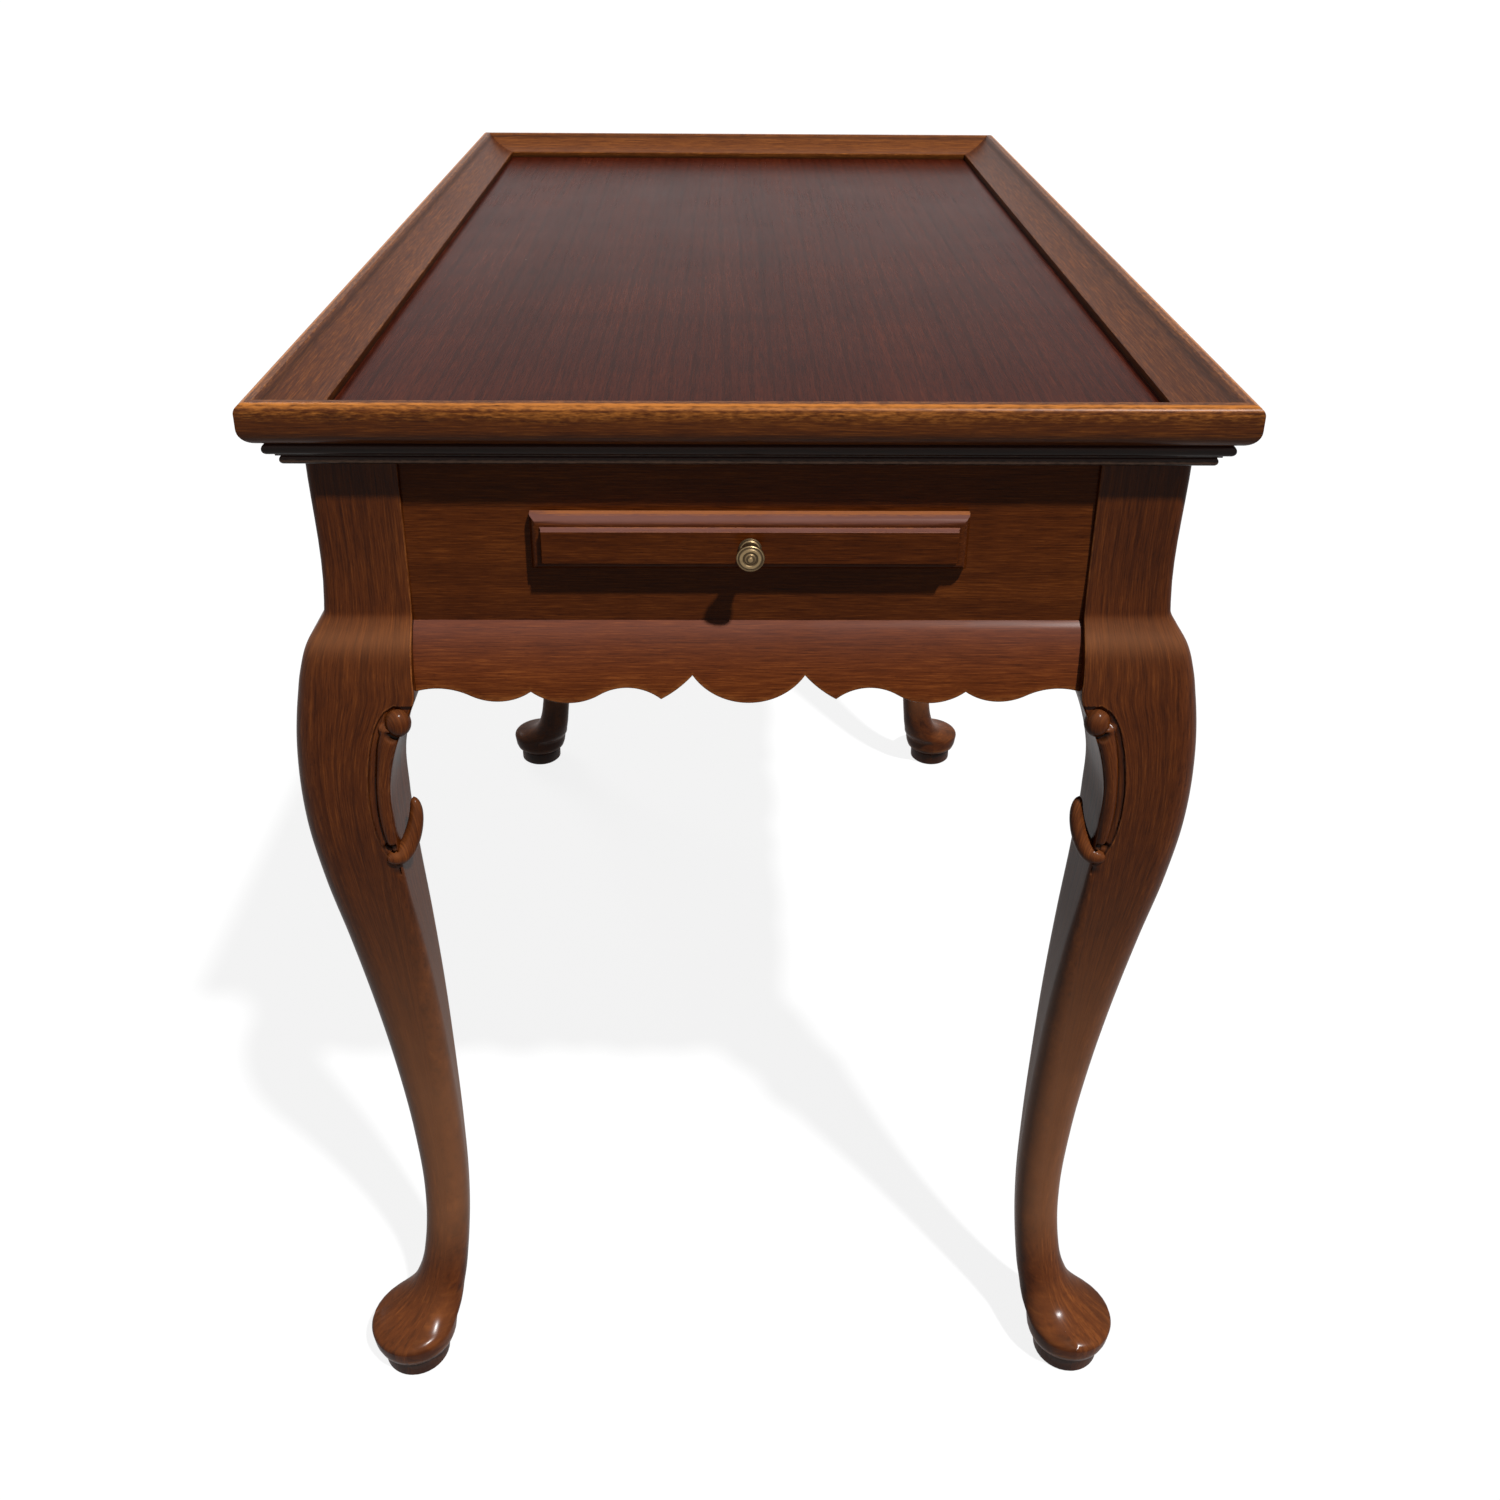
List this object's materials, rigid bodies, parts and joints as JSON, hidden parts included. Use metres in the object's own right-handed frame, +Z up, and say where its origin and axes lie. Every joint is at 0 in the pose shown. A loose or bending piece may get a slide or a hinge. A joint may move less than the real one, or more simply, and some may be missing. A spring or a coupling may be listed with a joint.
{
  "type": "tea table",
  "caption": "rectangular tea table with moulded tray rim, cabriole legs with carved knee scrolls, scalloped skirts and a pull-out candle slide at each end",
  "frame": {"origin": "bottom centre of the table, on the floor", "axes": "+Z up, +Y along the length, X across the ends; the pictured end faces -Y"},
  "size_m": [0.4944, 0.7894, 0.68],
  "materials": {
    "panel_cherry": "dark red cherry, satin varnish",
    "rim_cherry": "red-brown cherry, satin varnish",
    "cornice_cherry": "dark cherry, satin varnish",
    "leg_cherry": "red-brown cherry, satin varnish",
    "apron_cherry": "red-brown cherry, satin varnish",
    "skirt_cherry": "red-brown cherry, satin varnish",
    "slide_cherry": "red-brown cherry, satin varnish",
    "inner_wood": "bare secondary wood",
    "knob_brass": "aged brass",
    "screw_steel": "plain steel"
  },
  "bodies": {
    "table": {"top_panel": "panel_cherry", "rim_front": "rim_cherry", "rim_back": "rim_cherry", "rim_left": "rim_cherry", "rim_right": "rim_cherry", "cornice_front": "cornice_cherry", "cornice_back": "cornice_cherry", "cornice_left": "cornice_cherry", "cornice_right": "cornice_cherry", "leg_front_left": "leg_cherry", "leg_front_right": "leg_cherry", "leg_back_left": "leg_cherry", "leg_back_right": "leg_cherry", "apron_front": "apron_cherry", "apron_back": "apron_cherry", "apron_left": "apron_cherry", "apron_right": "apron_cherry", "skirt_front": "skirt_cherry", "skirt_back": "skirt_cherry", "skirt_left": "skirt_cherry", "skirt_right": "skirt_cherry", "corner_block_front_left": "inner_wood", "corner_block_front_right": "inner_wood", "corner_block_back_left": "inner_wood", "corner_block_back_right": "inner_wood", "cleat_front": "inner_wood", "cleat_back": "inner_wood", "cleat_left": "inner_wood", "cleat_right": "inner_wood", "runner_left": "inner_wood", "runner_right": "inner_wood", "cross_rail": "inner_wood", "runner_spacer": "inner_wood"},
    "slide_front": {"slide_front_board": "slide_cherry", "slide_front_face": "slide_cherry", "slide_front_knob": "knob_brass", "slide_front_knob_screw": "screw_steel", "slide_front_stop_pins": "slide_cherry"},
    "slide_back": {"slide_back_board": "slide_cherry", "slide_back_face": "slide_cherry", "slide_back_knob": "knob_brass", "slide_back_knob_screw": "screw_steel", "slide_back_stop_pins": "slide_cherry"}
  },
  "joints": [
    {"name": "front_slide", "type": "slide", "parent": "table", "child": "slide_front", "axis": [0, -1, 0], "range_m": [0, 0.231]},
    {"name": "back_slide", "type": "slide", "parent": "table", "child": "slide_back", "axis": [0, 1, 0], "range_m": [0, 0.231]}
  ]
}
